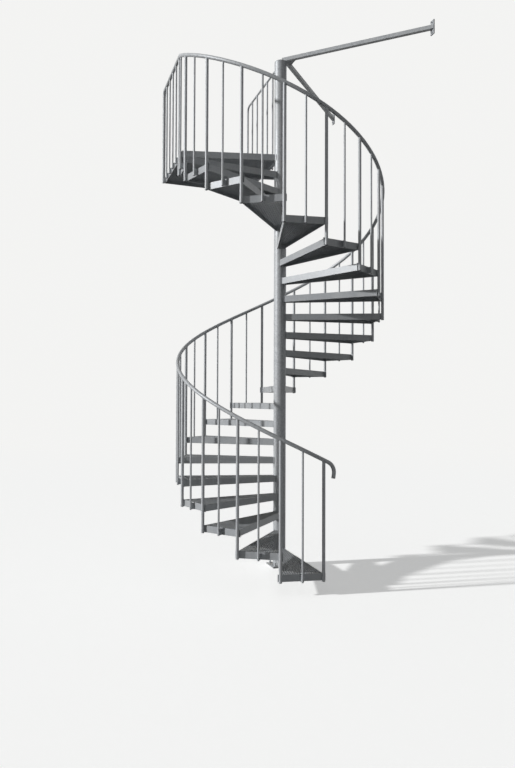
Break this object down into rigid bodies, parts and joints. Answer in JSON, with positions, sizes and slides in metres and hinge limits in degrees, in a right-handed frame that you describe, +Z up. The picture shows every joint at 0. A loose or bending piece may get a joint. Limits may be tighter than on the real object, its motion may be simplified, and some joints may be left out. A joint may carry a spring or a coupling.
{
  "type": "spiral staircase",
  "caption": "Galvanised steel spiral staircase round a tube column, with open grating treads, thin upright balusters, a curved tube handrail, a landing and two wall ties.",
  "frame": {"origin": "middle of the column on the underside of its square base plate, at ground level", "axes": "+Z up along the column; +X towards the wall that the two ties reach; +Y the way the landing leaves on to the terrace; the stair is entered at -Y and climbs clockwise seen from above"},
  "size_m": [2.1061, 2.055, 5.0685],
  "materials": {
    "tube": "galvanised, dull",
    "bar": "galvanised, dull",
    "grating": "galvanised, dull",
    "plate": "galvanised, weathered"
  },
  "bodies": {
    "root": {"base_plate": "plate", "column": "tube", "column_cap": "plate", "tread_01": "grating", "tread_02": "grating", "tread_03": "grating", "tread_04": "grating", "tread_05": "grating", "tread_06": "grating", "tread_07": "grating", "tread_08": "grating", "tread_09": "grating", "tread_10": "grating", "tread_11": "grating", "tread_12": "grating", "tread_13": "grating", "tread_14": "grating", "tread_15": "grating", "tread_16": "grating", "tread_17": "grating", "tread_18": "grating", "tread_19": "grating", "tread_20": "grating", "tread_21": "grating", "tread_22": "grating", "landing_platform": "grating", "corner_balusters": "bar", "mid_balusters": "bar", "landing_posts": "bar", "handrail_1": "tube", "handrail_2": "tube", "handrail_3": "tube", "handrail_4": "tube", "handrail_5": "tube", "landing_handrail": "tube", "inner_guard": "tube", "tie_front": "tube", "tie_rear": "tube", "tie_gusset": "plate", "wall_plate_front": "plate", "wall_plate_rear": "plate"}
  },
  "joints": []
}
